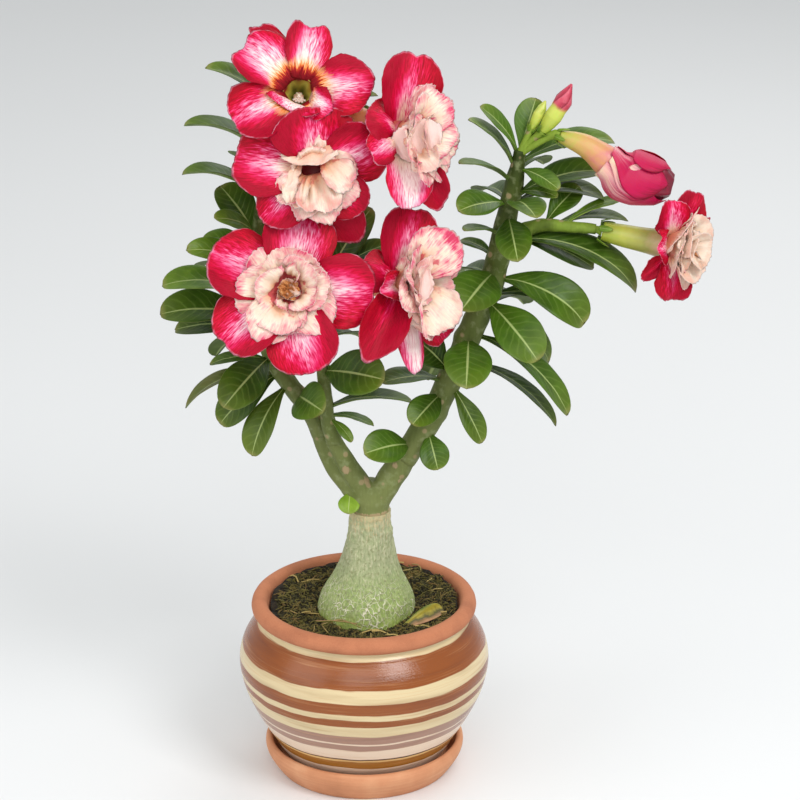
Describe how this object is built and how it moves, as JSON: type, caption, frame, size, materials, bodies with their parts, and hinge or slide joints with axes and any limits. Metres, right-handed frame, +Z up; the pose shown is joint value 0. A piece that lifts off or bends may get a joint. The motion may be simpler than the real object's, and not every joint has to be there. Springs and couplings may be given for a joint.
{
  "type": "potted desert rose",
  "caption": "Grafted desert rose adenium with a swollen trunk, forked leafy stems and double crimson and cream blooms, in a banded round-bellied clay pot on a shallow saucer.",
  "frame": {"origin": "centre of the saucer's flat underside", "axes": "+Z up along the pot's axis, +X towards the pale side bloom, -Y towards the front"},
  "size_m": [0.2703, 0.1284, 0.393],
  "materials": {
    "petal": "soft living petal, crimson at the edge and white to pink inside",
    "heart": "soft ruffled petal, cream with pink margins",
    "bud": "soft furled petal, crimson and pink over a pale tube",
    "green_bud": "smooth young bud, yellow-green",
    "leaf": "waxy green leaf with a pale midrib",
    "bark": "smooth grey-green bark with tan scars",
    "caudex": "grey-green bark with a net of cream cracks",
    "soil": "dark mossy peat",
    "dry_leaf": "dry curled leaf, yellow-green to tan",
    "painted_clay": "fired clay with hand-painted, varnished bands and a bare rim",
    "terracotta": "bare fired clay, matt"
  },
  "bodies": {
    "root": {"bloom_top_corolla": "petal", "bloom_top_stamens": "heart", "bloom_middle_corolla": "petal", "bloom_middle_heart": "heart", "bloom_front_corolla": "petal", "bloom_front_heart": "heart", "bloom_upper_side_corolla": "petal", "bloom_upper_side_heart": "heart", "bloom_lower_side_corolla": "petal", "bloom_lower_side_heart": "heart", "bloom_pale_corolla": "petal", "bloom_pale_heart": "heart", "bud_opening": "bud", "bud_red": "bud", "bud_green": "green_bud", "fork": "bark", "shoot_right": "leaf", "shoot_left_inner": "leaf", "shoot_left_outer": "leaf", "caudex": "caudex", "soil": "soil", "fallen_leaf": "dry_leaf", "pot": "painted_clay", "saucer": "terracotta"}
  },
  "joints": []
}
